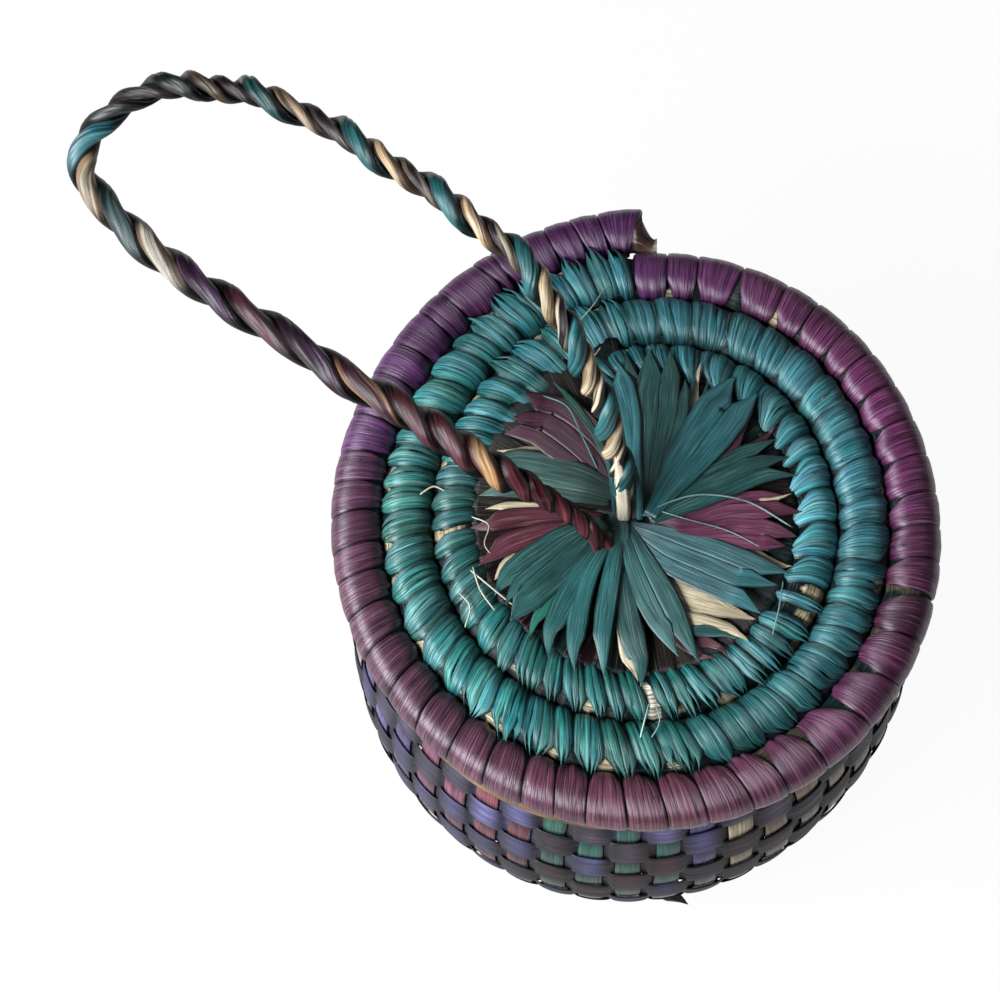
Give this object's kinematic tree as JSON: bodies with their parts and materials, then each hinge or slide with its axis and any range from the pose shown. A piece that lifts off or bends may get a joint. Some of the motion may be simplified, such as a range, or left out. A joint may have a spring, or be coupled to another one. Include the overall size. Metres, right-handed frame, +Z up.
{
  "type": "coiled basket bowl",
  "caption": "Round woven bowl with a lift-off coiled lid, a leaf rosette in its middle and a long plaited carrying handle.",
  "frame": {"origin": "middle of the flat underside of the base, on the surface the basket stands on", "axes": "+Z up out of the bowl, -Y towards the viewer of the picture, +X to the viewer's right; the handle stands out to -X +Y"},
  "size_m": [0.2525, 0.2127, 0.1649],
  "materials": {
    "stakes": "flat dyed leaf stakes, matt, in teal, plum, violet and natural",
    "weavers": "flat dyed leaf strips, slate violet and brown, slightly worn",
    "hoops": "split cane, matt",
    "base_weave": "plain woven leaf, matt",
    "natural_core": "undyed dry grass bundle",
    "teal_wrap": "dyed split leaf, silky along the fibre",
    "plum_wrap": "dyed wide leaf, satin along the fibre",
    "tail_leaf": "folded dry brown leaf",
    "centre_mat": "stacked dry leaf",
    "locating_ring": "plaited dry leaf",
    "knots": "knotted dyed leaf",
    "leaf_teal": "flat dyed leaf, silky",
    "leaf_natural": "flat undyed leaf, silky",
    "leaf_maroon": "flat dyed leaf, silky",
    "strand_teal": "folded dyed leaf strand",
    "strand_natural": "folded undyed leaf strand",
    "strand_plum": "folded dark plum leaf strand"
  },
  "bodies": {
    "bowl": {"bowl-stakes": "stakes", "bowl-weaver-row-1": "weavers", "bowl-weaver-row-2": "weavers", "bowl-weaver-row-3": "weavers", "bowl-weaver-row-4": "weavers", "bowl-weaver-row-5": "weavers", "bowl-weaver-row-6": "weavers", "bowl-weaver-row-7": "weavers", "bowl-weaver-row-8": "weavers", "bowl-base-weave": "base_weave", "bowl-hoop-outer": "hoops", "bowl-hoop-inner": "hoops"},
    "lid": {"lid-coil-core": "natural_core", "lid-wrap-teal": "teal_wrap", "lid-wrap-plum": "plum_wrap", "lid-tail-leaf": "tail_leaf", "lid-centre-mat": "centre_mat", "lid-locating-ring": "locating_ring", "lid-knot-far": "knots", "lid-knot-near": "knots", "rosette-lower-leaf-01": "leaf_teal", "rosette-lower-leaf-02": "leaf_teal", "rosette-lower-leaf-03": "leaf_maroon", "rosette-lower-leaf-04": "leaf_teal", "rosette-lower-leaf-05": "leaf_natural", "rosette-lower-leaf-06": "leaf_teal", "rosette-lower-leaf-07": "leaf_teal", "rosette-lower-leaf-08": "leaf_teal", "rosette-lower-leaf-09": "leaf_maroon", "rosette-lower-leaf-10": "leaf_teal", "rosette-lower-leaf-11": "leaf_natural", "rosette-lower-leaf-12": "leaf_teal", "rosette-upper-leaf-01": "leaf_natural", "rosette-upper-leaf-02": "leaf_teal", "rosette-upper-leaf-03": "leaf_teal", "rosette-upper-leaf-04": "leaf_teal", "rosette-upper-leaf-05": "leaf_maroon", "rosette-upper-leaf-06": "leaf_teal", "rosette-upper-leaf-07": "leaf_natural", "rosette-upper-leaf-08": "leaf_teal", "rosette-upper-leaf-09": "leaf_teal", "rosette-upper-leaf-10": "leaf_teal", "rosette-upper-leaf-11": "leaf_maroon", "rosette-upper-leaf-12": "leaf_teal"},
    "handle": {"handle-strand-teal": "strand_teal", "handle-strand-natural": "strand_natural", "handle-strand-plum": "strand_plum", "handle-foot-far": "knots", "handle-foot-near": "knots"}
  },
  "joints": [
    {"name": "lid_lift", "type": "slide", "parent": "bowl", "child": "lid", "axis": [0, 0, 1], "range_m": [0, 0.12]},
    {"name": "handle_swing", "type": "hinge", "parent": "lid", "child": "handle", "pos_m": [-0.0055, -0.0056, 0.0991], "axis": [0.5446, 0.8387, 0], "range_deg": [0, 80]}
  ]
}
